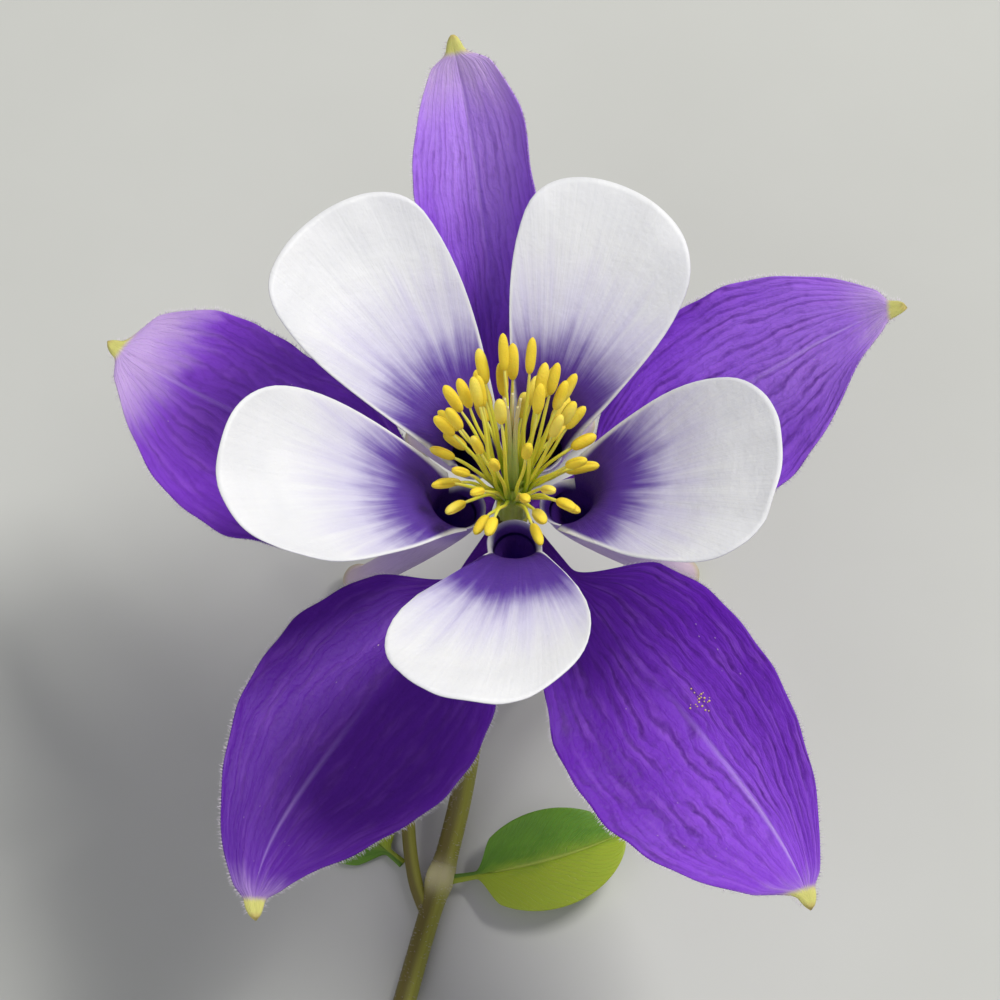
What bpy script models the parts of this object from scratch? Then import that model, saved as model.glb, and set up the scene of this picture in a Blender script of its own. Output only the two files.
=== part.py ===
"""A long-spurred columbine bloom on its cut stem. The bloom faces up and stands on its five spur tips,
and the stem arches down between the spurs and runs along the surface to its cut end."""

import math
import random

import bmesh
import bpy
import numpy as np

MM = 0.001
SHEET = 0.6            # thickness of petals, sepals and leaves, mm
BLOOM_X = 1.4          # where the bloom's middle stands, mm
BLOOM_Y = 24.0
BLOOM_Z = 37.0
MOUTH_R = 6.0          # each spur's mouth lies this far from the bloom's axis, mm
MOUTH_Z = 1.0
TUBE_RADIAL = 2.4      # half widths of the spur at its mouth, mm
TUBE_ACROSS = 2.2
MOUTH_FLARE = 12.0     # how far the mouth's own axis leans out, degrees
RIM_IN = 2.9           # reach of the petal's rim towards the stamens, mm
THROAT_HALF = 2.6
SPUR_R = 0.95          # spur's half width past its neck, mm
SPUR_DRIFT = 13.0      # how far all the spurs swing to +Y on their way down, mm
NECK = 0.2             # share of the spur over which its mouth narrows
KNOB = 0.55            # how much the spur swells just above its foot, mm
FOOT_R = 0.85          # flat spot under each spur, mm
CAVITY = 0.5           # the spur is hollow over this share of its length
CLAW_HALF = 1.0        # half width of a sepal where it leaves the receptacle, mm
CLAW_SHARE = 0.1       # share of a sepal's length that is claw, and the share over which it then opens
OPEN_SHARE = 0.15
SEPAL_R = 2.0
SEPAL_Z = -3.0
CORE_R = 1.6           # column that carries the stamens, mm
CORE_Z = (-2.9, 3.0)
FILAMENT_R = 0.32
ANTHER_R = 0.72
ANTHER_LONG = 2.8
STEM_R = 1.2

# Angles in degrees, lengths in mm. left is the share of the width on the side towards +heading.
SEPALS = {
    "sepal_top": dict(heading=95.3, rise=23, arch=8, sweep=6.7, length=45.7, width=16.2, left=0.43,
                      twist=-11, widest=0.53, cup_left=75, cup_right=75, full=1.6, turn=-15.5, slant=0,
                      hook=1),
    "sepal_left": dict(heading=163, rise=6, arch=-7, sweep=-17.5, length=42.5, width=22.6, left=0.60,
                       twist=-4.5, widest=0.56, cup_left=27, cup_right=29, full=2.05, turn=-1.5,
                       slant=-0.11, hook=-2),
    "sepal_low_left": dict(heading=236, rise=1, arch=6, sweep=-1.5, length=48.5, width=23.4, left=0.53,
                           twist=-2, widest=0.44, cup_left=20, cup_right=31, full=2.1, turn=-3.5,
                           slant=0, hook=48),
    "sepal_low_right": dict(heading=308, rise=2.5, arch=2, sweep=-5, length=49, width=23.8, left=0.42,
                            twist=-2, widest=0.46, cup_left=29, cup_right=17, full=1.75, turn=4,
                            slant=-0.07, hook=-22),
    "sepal_right": dict(heading=22.5, rise=18, arch=15, sweep=0.5, length=42.5, width=23.2, left=0.44,
                        twist=-1.5, widest=0.46, cup_left=23, cup_right=20, full=2.2, turn=-1,
                        slant=0.05, hook=-28),
}
# spread is how far the spur's tip stands out past its mouth, curl how much of it comes late, side a sideways swing.
PETALS = {
    "petal_upper_left": dict(heading=130, turn_out=71, blade=26.0, wide_left=9.4, wide_right=8.6, widest=0.755,
                             skew=0.02, bend=-0.016, cup=0.133, round=2.1, waist=-2.0, twist=-0.02,
                             fillet=5.1, spread=9, curl=0.3, side=0),
    "petal_upper_right": dict(heading=61, turn_out=71, blade=24.4, wide_left=9.5, wide_right=8.1, widest=0.73,
                              skew=0.06, bend=-0.027, cup=0.04, round=2.05, waist=-1.0, twist=0.05,
                              fillet=6.6, spread=9, curl=0.3, side=0),
    "petal_left": dict(heading=198, turn_out=66.5, blade=25.7, wide_left=7.9, wide_right=10.1, widest=0.65,
                       skew=-0.005, bend=-0.014, cup=0.19, round=2.05, waist=-1.5, twist=-0.07,
                       fillet=5.7, spread=11, curl=0.35, side=0),
    "petal_right": dict(heading=-14, turn_out=66.5, blade=23.2, wide_left=10.3, wide_right=9.1, widest=0.655,
                        skew=-0.055, bend=0.047, cup=0.03, round=2.1, waist=-2.8, twist=0.05,
                        fillet=6.2, spread=13, curl=0.4, side=0),
    "petal_lower": dict(heading=272, turn_out=69.5, blade=26.3, wide_left=8.1, wide_right=10.6, widest=0.675,
                        skew=-0.142, bend=-0.004, cup=0.03, round=2.15, waist=2.5, twist=-0.08,
                        fillet=5.8, spread=8, curl=0.2, side=2.2),
}
# Whorls of stamens from the middle outwards: how many, lean at the root and at the tip, length, root height, turn.
WHORLS = (
    (7, 6, 14, 15.5, 2.4, 10),
    (11, 10, 32, 14.0, 2.2, 25),
    (12, 14, 52, 13.0, 1.9, 5),
    (12, 20, 76, 11.0, 1.8, 20),
    (9, 26, 92, 9.0, 1.7, 0),
)
BUNCH_LEAN = 5.0
LEAN_FROM = 5.0
CARPELS = 5
# Points of the stem's run from under the bloom, in the bloom's own frame, mm.
STEM_PATH = ((0, 0, -3.4), (-0.7, -1.0, -11), (-2.2, -4.0, -19.5), (-3.4, -9.0, -27.0), (-5.2, -18.0, -33.4),
             (-7.4, -26.5, -35.75), (-10.0, -36.0, -35.8), (-14.0, -52.0, -35.8), (-18.0, -72.0, -35.8),
             (-20.0, -90.0, -35.8))
SHOOT_PATH = ((-8.6, -30.5, -35.8), (-10.0, -26.5, -35.5), (-10.7, -20.5, -34.2), (-10.3, -14.0, -31.8))
SHOOT_R = 0.75
LEAVES = {
    "leaf_right": dict(start=(-5.2, -26.6, -35.2), heading=6, rise=10, arch=-4, sweep=18, length=17.5,
                       width=10.6, left=0.50, twist=0, widest=0.5, cup_left=34, cup_right=-12, full=1.25,
                       turn=-4, slant=0, hook=0),
    "leaf_left": dict(start=(-11.25, -24.6, -36.3), heading=140, rise=1, arch=7, sweep=-14, length=14.0,
                      width=10.0, left=0.50, twist=0, widest=0.52, cup_left=-8, cup_right=12, full=1.3,
                      turn=0, slant=0, hook=0),
}


def material(name, colour, roughness):
    made = bpy.data.materials.new(name)
    made.use_nodes = True
    shader = made.node_tree.nodes["Principled BSDF"]
    shader.inputs["Base Color"].default_value = (*colour, 1)
    shader.inputs["Roughness"].default_value = roughness
    shader.inputs["Metallic"].default_value = 0.0
    return made


def add_mesh(name, points, faces, paint):
    """One object from points in the bloom's frame in mm, moved to where the bloom stands."""
    placed = (np.asarray(points, float) + (BLOOM_X, BLOOM_Y, BLOOM_Z)) * MM
    mesh = bpy.data.meshes.new(name)
    mesh.from_pydata(placed.tolist(), [], [tuple(int(i) for i in face) for face in faces])
    mesh.materials.append(paint)
    body = bmesh.new()
    body.from_mesh(mesh)
    bmesh.ops.recalc_face_normals(body, faces=body.faces)
    if body.calc_volume(signed=True) < 0:
        bmesh.ops.reverse_faces(body, faces=body.faces)
    body.to_mesh(mesh)
    body.free()
    made = bpy.data.objects.new(name, mesh)
    bpy.context.scene.collection.objects.link(made)
    return made


def unit(vectors):
    return vectors / np.linalg.norm(vectors, axis=-1, keepdims=True)


def split(a, b, c, d):
    """Two triangles of one four-sided face."""
    return [(a, b, c), (a, c, d)]


def sheet_normals(grid):
    along = np.gradient(grid, axis=0)
    across = np.gradient(grid, axis=1)
    return unit(np.cross(along, across))


def leaf_grid(p, start, rows, columns):
    """Middle surface of a sepal or leaf: a curved midrib, and across it two arcs that cup towards the front."""
    u = np.linspace(0, 1, rows)
    v = np.linspace(-1, 1, columns)
    t = np.linspace(0, 1, 400)
    pitch = np.radians(p["rise"] + p["arch"] * t)
    head = np.radians(p["heading"] + p["sweep"] * t**1.5 + p["hook"] * t**7)
    ahead = np.stack([np.cos(pitch) * np.cos(head), np.cos(pitch) * np.sin(head), np.sin(pitch)], -1)
    steps = (ahead[1:] + ahead[:-1]) / 2 * p["length"] / 399
    path = np.concatenate([np.zeros((1, 3)), np.cumsum(steps, 0)]) + np.asarray(start, float)
    middle = np.stack([np.interp(u, t, path[:, k]) for k in range(3)], -1)
    tangent = unit(np.stack([np.interp(u, t, ahead[:, k]) for k in range(3)], -1))
    facing = np.interp(u, t, head)
    side = np.stack([-np.sin(facing), np.cos(facing), 0 * facing], -1)
    up = np.cross(tangent, side)
    roll = np.radians(p["twist"] * u**1.2 + p["turn"])[:, None]
    side = side * np.cos(roll) + up * np.sin(roll)
    up = np.cross(tangent, side)
    blade = np.clip((u - CLAW_SHARE) / (1 - CLAW_SHARE), 1e-9, 1)
    nib = 1.05 * np.clip((u - 0.84) / 0.08, 0, 1) * np.sqrt(1 - 0.8 * np.clip((u - 0.9) / 0.1, 0, 1)**2)
    claw = CLAW_HALF * (1 - u)**2
    gate = np.clip((u - CLAW_SHARE) / OPEN_SHARE, 0, 1)
    gate = gate * gate * (3 - 2 * gate)
    grid = np.zeros((rows, columns, 3))
    for j, share in enumerate(v):
        leftward = share > 0
        half = p["width"] * (p["left"] if leftward else 1 - p["left"])
        peak = p["widest"] + (p["slant"] if leftward else -p["slant"])
        swell = (blade / peak)**(peak * p["full"]) * ((1 - blade) / (1 - peak))**((1 - peak) * p["full"])
        wide = ((half * swell * gate)**3 + nib**3 + claw**3)**(1 / 3)
        cup = math.radians(p["cup_left"] if leftward else p["cup_right"])
        bow = cup * np.sin(np.pi * np.clip(u, 0, 1)**0.8)**0.7 + 1e-6
        turn = bow * abs(share)
        out = np.sign(share) * wide * np.sin(turn) / bow
        lift = wide * (1 - np.cos(turn)) / bow
        grid[:, j] = middle + side * out[:, None] + up * lift[:, None]
    return grid


def thick_sheet(name, grid, paint):
    """A closed sheet round a middle surface, cut into the same triangles on its two faces."""
    rows, columns = grid.shape[:2]
    off = sheet_normals(grid) * SHEET / 2
    points = np.concatenate([(grid + off).reshape(-1, 3), (grid - off).reshape(-1, 3)])
    under = rows * columns
    faces = []
    for i in range(rows - 1):
        for j in range(columns - 1):
            a = i * columns + j
            b, c, d = a + 1, a + columns + 1, a + columns
            faces += split(a, b, c, d)
            faces += [face[::-1] for face in split(a + under, b + under, c + under, d + under)]
    rim = list(range(columns))
    rim += [i * columns + columns - 1 for i in range(1, rows)]
    rim += [(rows - 1) * columns + j for j in range(columns - 2, -1, -1)]
    rim += [i * columns for i in range(rows - 2, 0, -1)]
    for a, b in zip(rim, rim[1:] + rim[:1]):
        faces += split(b, a, a + under, b + under)
    return add_mesh(name, points, faces, paint)


def petal_outline(p, theta):
    """How far the petal's rim stands from the middle of its throat, in each direction round it."""
    x = np.concatenate([-RIM_IN * np.cos(np.linspace(0, np.pi / 2, 60, endpoint=False)),
                        np.linspace(0, p["blade"], 400)])
    peak = p["widest"] * p["blade"]
    reach = []
    for wide in (p["wide_left"], p["wide_right"]):
        s = np.clip((x - p["waist"]) / (peak - p["waist"]), 0, 1)
        grow = THROAT_HALF + (wide - THROAT_HALF) * np.sin(s * np.pi / 2)**1.2
        past = np.clip((x - peak) / (p["blade"] - peak), 0, 1)
        tip = wide * (1 - past**p["round"])**(1 / p["round"])
        inner = THROAT_HALF * np.sqrt(np.clip(1 - (x / RIM_IN)**2, 0, 1))
        half = np.where(x < 0, inner, np.where(x < peak, grow, tip))
        angle = np.arctan2(half, x)
        order = np.argsort(angle)
        reach.append(np.interp(np.abs(theta), angle[order], np.hypot(x, half)[order]))
    return np.where(theta >= 0, reach[0], reach[1])


def petal_blade(p, theta, shares):
    """Rings of the petal from the spur's mouth to its rim: a fillet out of the throat, then a nearly flat blade."""
    head = math.radians(p["heading"])
    outward = np.array([math.cos(head), math.sin(head), 0])
    across = np.array([-math.sin(head), math.cos(head), 0])
    flare = math.radians(MOUTH_FLARE)
    axis = np.array([0, 0, math.cos(flare)]) - outward * math.sin(flare)
    ahead = outward * math.cos(flare) + np.array([0, 0, math.sin(flare)])
    middle = outward * MOUTH_R + np.array([0, 0, MOUTH_Z])
    c, s = np.cos(theta), np.sin(theta)
    mouth = 1 / np.hypot(c / TUBE_RADIAL, s / TUBE_ACROSS)
    front = ((1 + c) / 2)**1.5
    fillet = 1.5 + (p["fillet"] - 1.5) * front
    turn = np.radians(30 + (p["turn_out"] - 30) * front)
    rim = np.maximum(petal_outline(p, theta), mouth + 0.15)
    reach = fillet * (1 - np.cos(turn))
    inside = fillet * np.arccos(np.clip(1 - (rim - mouth) / fillet, -1, 1))
    whole = np.where(rim - mouth <= reach, inside, fillet * turn + (rim - mouth - reach) / np.sin(turn))
    run = np.asarray(shares)[:, None] * whole
    arc = np.minimum(run, fillet * turn)
    rho = mouth + fillet * (1 - np.cos(arc / fillet)) + (run - arc) * np.sin(turn)
    height = fillet * np.sin(arc / fillet) + (run - arc) * np.cos(turn)
    x, y = rho * c, rho * s
    far = np.clip(x / p["blade"], 0, None)
    wide = (p["wide_left"] + p["wide_right"]) / 2
    height = height + p["bend"] * p["blade"] * far**2 + p["cup"] * (y / wide)**2 * wide * np.clip(far, 0, 1)
    height = height + p["twist"] * y * far**2
    y = y + p["skew"] * np.clip(x, 0, None)**2 / p["blade"]
    return middle + x[..., None] * ahead + y[..., None] * across + height[..., None] * axis


def spur_rings(p, theta, t):
    """Rings of the spur, t from 0 at its mouth to 1 at its foot on the surface."""
    head = math.radians(p["heading"])
    outward = np.array([math.cos(head), math.sin(head), 0])
    across = np.array([-math.sin(head), math.cos(head), 0])
    drop = BLOOM_Z + MOUTH_Z
    lead = math.tan(math.radians(MOUTH_FLARE)) * drop
    t = np.asarray(t, float)[:, None]

    def course(k):
        out = lead * k * (1 - k) + p["spread"] * (p["curl"] * k**2 + (1 - p["curl"]) * k * k * (3 - 2 * k))
        back = SPUR_DRIFT * k**1.3
        path = outward * (MOUTH_R + out) + across * p["side"] * k**2 + np.array([0, 1, 0]) * back
        return path + np.array([0, 0, 1]) * (MOUTH_Z - drop * k)

    middle = course(t)
    down = unit(course(t + 1e-4) - course(np.maximum(t - 1e-4, 0)))
    side = unit(across - (down @ across)[:, None] * down)
    front = np.cross(side, -down)
    swell = KNOB * np.exp(-((t - 0.95) / 0.03)**2)
    shrink = np.exp(-t / NECK)
    radial = SPUR_R + (TUBE_RADIAL - SPUR_R) * shrink + swell
    wide = SPUR_R + (TUBE_ACROSS - SPUR_R) * shrink + swell
    c, s = np.cos(theta)[None], np.sin(theta)[None]
    rho = 1 / np.hypot(c / radial, s / wide)
    return middle[:, None] + (rho * c)[..., None] * front[:, None] + (rho * s)[..., None] * side[:, None]


def petal_angles(count):
    turn = np.linspace(-np.pi, np.pi, count, endpoint=False)
    return turn - 0.55 * np.sin(turn)


def petal_solid(name, p, paint):
    """One petal, its blade, throat and hollow spur, as a single wall that closes over at the spur's foot."""
    theta = petal_angles(22)
    count = len(theta)
    tube_t = np.array([0.97, 0.945, 0.915, 0.87, 0.7, 0.5, 0.35, 0.22, 0.12, 0.05])
    shares = (0, 0.1, 0.2, 0.32, 0.5, 0.72, 1)
    middle = np.concatenate([spur_rings(p, theta, tube_t), petal_blade(p, theta, shares)])
    along = np.gradient(middle, axis=0)
    around = np.roll(middle, -1, axis=1) - np.roll(middle, 1, axis=1)
    off = unit(np.cross(around, along)) * SHEET / 2
    centre = middle[0].mean(axis=0)
    if ((middle[0] - centre) * off[0]).sum() > 0:
        off = -off
    outer = middle - off
    inner = middle + off
    heel = spur_rings(p, theta, [1.0])[0].mean(axis=0)
    last = outer[0] - outer[0].mean(axis=0)
    foot = heel + last * FOOT_R / np.linalg.norm(last, axis=1).mean()
    foot[:, 2] = -BLOOM_Z
    hollow = inner[int((tube_t > CAVITY).sum()):]
    rings = np.concatenate([foot[None], outer, hollow[::-1]])
    sole = np.array([heel[0], heel[1], -BLOOM_Z])
    first = hollow[0]
    pit = first.mean(axis=0) + unit(first.mean(axis=0) - hollow[1].mean(axis=0)) * 1.2
    points = np.concatenate([rings.reshape(-1, 3), sole[None], pit[None]])
    faces = []
    for i in range(len(rings) - 1):
        for j in range(count):
            a = i * count + j
            b = i * count + (j + 1) % count
            faces += split(a, b, b + count, a + count)
    low = len(rings) * count
    high = (len(rings) - 1) * count
    for j in range(count):
        faces.append((low, (j + 1) % count, j))
        faces.append((low + 1, high + j, high + (j + 1) % count))
    return add_mesh(name, points, faces, paint)


def tube_points(path, radii, sides, flat=1.0):
    """Rings of a tube along a path. flat below 1 makes its section oval."""
    path = np.asarray(path, float)
    tangent = unit(np.gradient(path, axis=0))
    side = np.zeros_like(path)
    guide = np.array([1.0, 0, 0]) if abs(tangent[0][0]) < 0.9 else np.array([0, 1.0, 0])
    for i, ahead in enumerate(tangent):
        guide = guide - ahead * (guide @ ahead)
        guide = guide / np.linalg.norm(guide)
        side[i] = guide
    other = np.cross(tangent, side)
    turn = np.linspace(0, 2 * np.pi, sides, endpoint=False)
    ring = np.cos(turn)[None, :, None] * side[:, None] + flat * np.sin(turn)[None, :, None] * other[:, None]
    return path[:, None] + ring * np.asarray(radii, float)[:, None, None]


def tube(name, path, radii, sides, paint, flat=1.0):
    rings = tube_points(path, radii, sides, flat)
    count = len(rings)
    points = np.concatenate([rings.reshape(-1, 3), [path[0]], [path[-1]]])
    faces = []
    for i in range(count - 1):
        for j in range(sides):
            a = i * sides + j
            b = i * sides + (j + 1) % sides
            faces += split(a, b, b + sides, a + sides)
    for j in range(sides):
        faces.append((count * sides, (j + 1) % sides, j))
        top = (count - 1) * sides
        faces.append((count * sides + 1, top + j, top + (j + 1) % sides))
    return add_mesh(name, points, faces, paint)


def smooth_path(knots, count):
    """A Catmull-Rom curve through the given points, at equal steps of its knots."""
    knots = np.asarray(knots, float)
    padded = np.concatenate([[2 * knots[0] - knots[1]], knots, [2 * knots[-1] - knots[-2]]])
    out = []
    for k in np.linspace(0, len(knots) - 1, count):
        i = min(int(k), len(knots) - 2)
        f = k - i
        a, b, c, d = padded[i:i + 4]
        out.append(0.5 * (2 * b + (c - a) * f + (2 * a - 5 * b + 4 * c - d) * f**2
                          + (3 * b - a - 3 * c + d) * f**3))
    return np.array(out)


def union(base, others):
    """Joins the other objects to the first one and removes them."""
    group = bpy.data.collections.new(base.name + "_parts")
    bpy.context.scene.collection.children.link(group)
    for other in others:
        bpy.context.scene.collection.objects.unlink(other)
        group.objects.link(other)
    joining = base.modifiers.new("join", "BOOLEAN")
    joining.operation = "UNION"
    joining.operand_type = "COLLECTION"
    joining.collection = group
    joining.solver = "EXACT"
    bpy.context.view_layer.objects.active = base
    bpy.ops.object.modifier_apply(modifier="join")
    for other in list(group.objects):
        bpy.data.objects.remove(other)
    bpy.data.collections.remove(group)
    return base


def lean_back(path):
    """Shifts points to +Y by BUNCH_LEAN times (height above LEAN_FROM / 12)^2, as the whole bunch leans."""
    height = np.clip(path[:, 2] - LEAN_FROM, 0, None) / 12
    return path + np.stack([0 * height, BUNCH_LEAN * height**2, 0 * height], -1)


def stamen_path(azimuth, lean_root, lean_tip, length, root_r, root_z, steps):
    """A filament that leaves the column at a small lean and curves outwards to its tip's lean."""
    out = np.array([math.cos(azimuth), math.sin(azimuth), 0])
    s = np.linspace(0, 1, 60)
    lean = np.radians(lean_root + (lean_tip - lean_root) * s**1.3)
    step = np.sin(lean)[:, None] * out + np.cos(lean)[:, None] * np.array([0, 0, 1])
    path = np.concatenate([np.zeros((1, 3)), np.cumsum((step[1:] + step[:-1]) / 2 * length / 59, 0)])
    path = path + out * root_r + np.array([0, 0, root_z])
    return lean_back(np.stack([np.interp(steps, s * length, path[:, k]) for k in range(3)], -1))


def stamens(paint):
    """The column and every stamen on it, fused into one body."""
    draw = random.Random(11)
    low, high = CORE_Z
    core = tube("stamens", [(0, 0, z) for z in np.linspace(low, high, 4)],
                [CORE_R * 0.9, CORE_R, CORE_R, CORE_R * 0.85], 12, paint)
    made = []
    for count, lean_root, lean_tip, length, root_z, turn in WHORLS:
        for i in range(count):
            azimuth = math.radians(turn + 360 * (i + draw.uniform(-0.28, 0.28)) / count)
            reach = length * draw.uniform(0.93, 1.07)
            tip = lean_tip + draw.uniform(-6, 6)
            end = reach - ANTHER_LONG
            steps = np.array([0, 0.3, 0.6, 0.85, 0.97]) * end
            anther = end + ANTHER_LONG * np.array([0.05, 0.3, 0.7, 1.0])
            path = stamen_path(azimuth, lean_root, tip, reach, 1.22, root_z, np.concatenate([steps, anther]))
            radii = [FILAMENT_R] * 5 + [ANTHER_R * k for k in (0.7, 1.0, 0.95, 0.5)]
            made.append(tube(f"stamen_{len(made)}", path, radii, 5, paint, 0.8))
    return union(core, made)


def pistil(paint):
    """Five slender carpels side by side, each drawn out into a style."""
    core = np.array([(0, 0, 3.4), (0, 0, 4.2), (0, 0, 6.5), (0, 0, 9.5), (0, 0, 12.5)])
    base = tube("pistil", lean_back(core), [0.5, 0.6, 0.5, 0.4, 0.2], 8, paint)
    made = []
    for i in range(CARPELS):
        azimuth = math.radians(18 + 72 * i)
        out = np.array([math.cos(azimuth), math.sin(azimuth), 0])
        path = np.array([out * r + np.array([0, 0, z])
                         for r, z in ((0.24, 4.1), (0.3, 6.5), (0.26, 9.5), (0.4, 12.5), (0.8, 15))])
        made.append(tube(f"carpel_{i}", lean_back(path), [0.3, 0.34, 0.3, 0.3, 0.3], 5, paint))
    return union(base, made)


def stem(paint):
    """The flower stalk with its receptacle, the swelling where the bracts leave it, and the side shoot."""
    path = smooth_path(STEM_PATH, 34)
    run = np.concatenate([[0], np.cumsum(np.linalg.norm(np.diff(path, axis=0), axis=1))])
    node = np.linalg.norm(path - np.array(STEM_PATH[5]), axis=1)
    radii = STEM_R + 0.45 * np.exp(-(run / 2.2)**2) + 0.35 * np.exp(-(node / 1.8)**2)
    path[:, 2] = np.maximum(path[:, 2], -BLOOM_Z + radii)
    main = tube("stem", path, radii, 8, paint)
    shoot = tube("shoot", smooth_path(SHOOT_PATH, 8), [SHOOT_R] * 6 + [0.65, 0.45], 6, paint)
    return union(main, [shoot])


def build():
    for thing in list(bpy.data.objects):
        bpy.data.objects.remove(thing)
    violet = material("sepal_violet", (0.13, 0.035, 0.42), 0.55)
    white = material("petal_white", (0.78, 0.78, 0.85), 0.5)
    yellow = material("anther_yellow", (0.80, 0.60, 0.03), 0.6)
    pale_green = material("carpel_green", (0.55, 0.62, 0.22), 0.5)
    olive = material("stem_olive", (0.30, 0.30, 0.05), 0.5)
    green = material("leaf_green", (0.20, 0.40, 0.03), 0.5)
    for name, p in SEPALS.items():
        head = math.radians(p["heading"])
        start = (SEPAL_R * math.cos(head), SEPAL_R * math.sin(head), SEPAL_Z)
        thick_sheet(name, leaf_grid(p, start, 13, 7), violet)
    for name, p in PETALS.items():
        petal_solid(name, p, white)
    for name, p in LEAVES.items():
        thick_sheet(name, leaf_grid(p, p["start"], 10, 7), green)
    stamens(yellow)
    pistil(pale_green)
    stem(olive)


build()
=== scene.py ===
"""A long-spurred columbine bloom on its cut stem, violet sepals behind white petals with violet throats."""
import math
import random

import bpy
import numpy as np
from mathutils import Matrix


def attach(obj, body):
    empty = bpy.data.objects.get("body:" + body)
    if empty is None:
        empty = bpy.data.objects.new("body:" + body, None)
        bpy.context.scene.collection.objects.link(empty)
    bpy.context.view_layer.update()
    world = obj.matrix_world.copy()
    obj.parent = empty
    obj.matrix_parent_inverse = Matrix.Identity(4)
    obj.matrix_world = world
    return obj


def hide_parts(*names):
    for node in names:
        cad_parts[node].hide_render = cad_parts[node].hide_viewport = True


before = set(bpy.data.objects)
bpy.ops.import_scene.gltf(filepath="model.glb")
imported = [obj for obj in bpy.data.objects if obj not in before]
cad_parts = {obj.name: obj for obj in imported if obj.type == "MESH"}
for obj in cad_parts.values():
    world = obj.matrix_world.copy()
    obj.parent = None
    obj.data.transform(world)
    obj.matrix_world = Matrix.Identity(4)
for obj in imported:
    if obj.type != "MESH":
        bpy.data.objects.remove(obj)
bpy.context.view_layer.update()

# Flower stalk. The real one is a thin olive stalk that swells where the bracts leave it; its left side is
# darkened to brown with painted shade. It grew as one piece with the receptacle under the bloom and with the
# side shoot.
# The sizes and points of all pieces are in millimetres from the middle of the bloom.

MM = 0.001
BLOOM = np.array([1.4, 24.0, 37.0])
FLOOR_Z = -BLOOM[2]
STEM_R = 1.2
STEM_PATH = ((0, 0, -3.4), (-0.7, -1.0, -11), (-2.2, -4.0, -19.5), (-3.4, -9.0, -27.0), (-5.2, -18.0, -33.4),
             (-7.4, -26.5, -35.75), (-10.0, -36.0, -35.8), (-14.0, -52.0, -35.8), (-18.0, -72.0, -35.8),
             (-20.0, -90.0, -35.8))
SWELLING = STEM_PATH[5]
STEM_ROWS = 300
STEM_AROUND = 28
SHOOT_PATH = ((-8.6, -30.5, -35.8), (-10.0, -26.5, -35.5), (-10.7, -20.5, -34.2), (-10.3, -14.0, -31.8))
SHOOT_R = 0.75
SHOOT_ROWS = 60
SHOOT_AROUND = 18
STALK_HAIRS = 650
STALK_HAIR_R = 0.02
STALK_HAIR_LONG = (0.25, 0.55)


def unit(vectors):
    """Each vector divided by its own length."""
    return vectors / np.maximum(np.linalg.norm(vectors, axis=-1, keepdims=True), 1e-12)


def feed(tree, slot, value):
    """Links a wire to a node's socket, or sets the socket to a plain value."""
    if isinstance(value, Wire):
        tree.links.new(value.socket, slot)
    else:
        slot.default_value = value


class Wire:
    """One output socket of a material, with arithmetic that adds Math nodes."""

    def __init__(self, tree, socket):
        self.tree = tree
        self.socket = socket

    def math(self, operation, *others):
        """A Math node on this wire and the other values."""
        node = self.tree.nodes.new("ShaderNodeMath")
        node.operation = operation
        for slot, value in zip(node.inputs, (self, *others)):
            feed(self.tree, slot, value)
        return Wire(self.tree, node.outputs[0])

    def __add__(self, other):
        return self.math("ADD", other)

    def __sub__(self, other):
        return self.math("SUBTRACT", other)

    def __rsub__(self, other):
        return self.math("MULTIPLY", -1.0) + other

    def __mul__(self, other):
        return self.math("MULTIPLY", other)

    __radd__ = __add__
    __rmul__ = __mul__


class Finish:
    """A material made of one Principled shader and the nodes that feed it."""

    def __init__(self, name, **constants):
        self.material = bpy.data.materials.new(name)
        self.material.use_nodes = True
        self.tree = self.material.node_tree
        self.shader = self.tree.nodes["Principled BSDF"]
        for socket, value in constants.items():
            self.shader.inputs[socket.replace("_", " ")].default_value = value

    def node(self, kind, settings=None, output=0, **sockets):
        """A node of any type: its settings first, then the values or links of its sockets. A socket goes by
        its name, or by an underscore and its number where several share a name."""
        node = self.tree.nodes.new("ShaderNode" + kind)
        for setting, value in (settings or {}).items():
            setattr(node, setting, value)
        for key, value in sockets.items():
            slot = node.inputs[int(key[1:])] if key[1:].isdigit() else node.inputs[key.replace("_", " ")]
            feed(self.tree, slot, value)
        return Wire(self.tree, node.outputs[output])

    def mark(self, name):
        """One of the mesh's own attributes, as a number."""
        return self.node("Attribute", {"attribute_name": name}, output=2)

    def place(self):
        """The point's place on the object, in metres."""
        return self.node("TexCoord", output=3)

    def noise(self, where, scale, detail=3.0, rough=0.55):
        """A soft random number, about 0.5 on the average."""
        return self.node("TexNoise", None, 0, Vector=where, Scale=scale, Detail=detail, Roughness=rough)

    def grid(self, x, y, z=0.0):
        """A pattern's own coordinates, from up to three numbers."""
        return self.node("CombineXYZ", None, 0, X=x, Y=y, Z=z)

    def ease(self, value, low, high):
        """0 below low, 1 above high, and a smooth step between."""
        return self.node("MapRange", {"interpolation_type": "SMOOTHSTEP"}, 0,
                         Value=value, From_Min=low, From_Max=high)

    def mix(self, share, a, b):
        """Colour a where share is 0, colour b where it is 1."""
        a = (*a, 1) if isinstance(a, tuple) else a
        b = (*b, 1) if isinstance(b, tuple) else b
        return self.node("Mix", {"data_type": "RGBA"}, 2, _0=share, _6=a, _7=b)

    def colour(self, value):
        """Feeds the shader's base colour."""
        feed(self.tree, self.shader.inputs["Base Color"], value)

    def bump(self, height, distance, strength=1.0):
        """Feeds the shader's normal from a height, where 1 stands for distance metres."""
        made = self.node("Bump", None, 0, Height=height, Distance=distance, Strength=strength)
        feed(self.tree, self.shader.inputs["Normal"], made)


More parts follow.
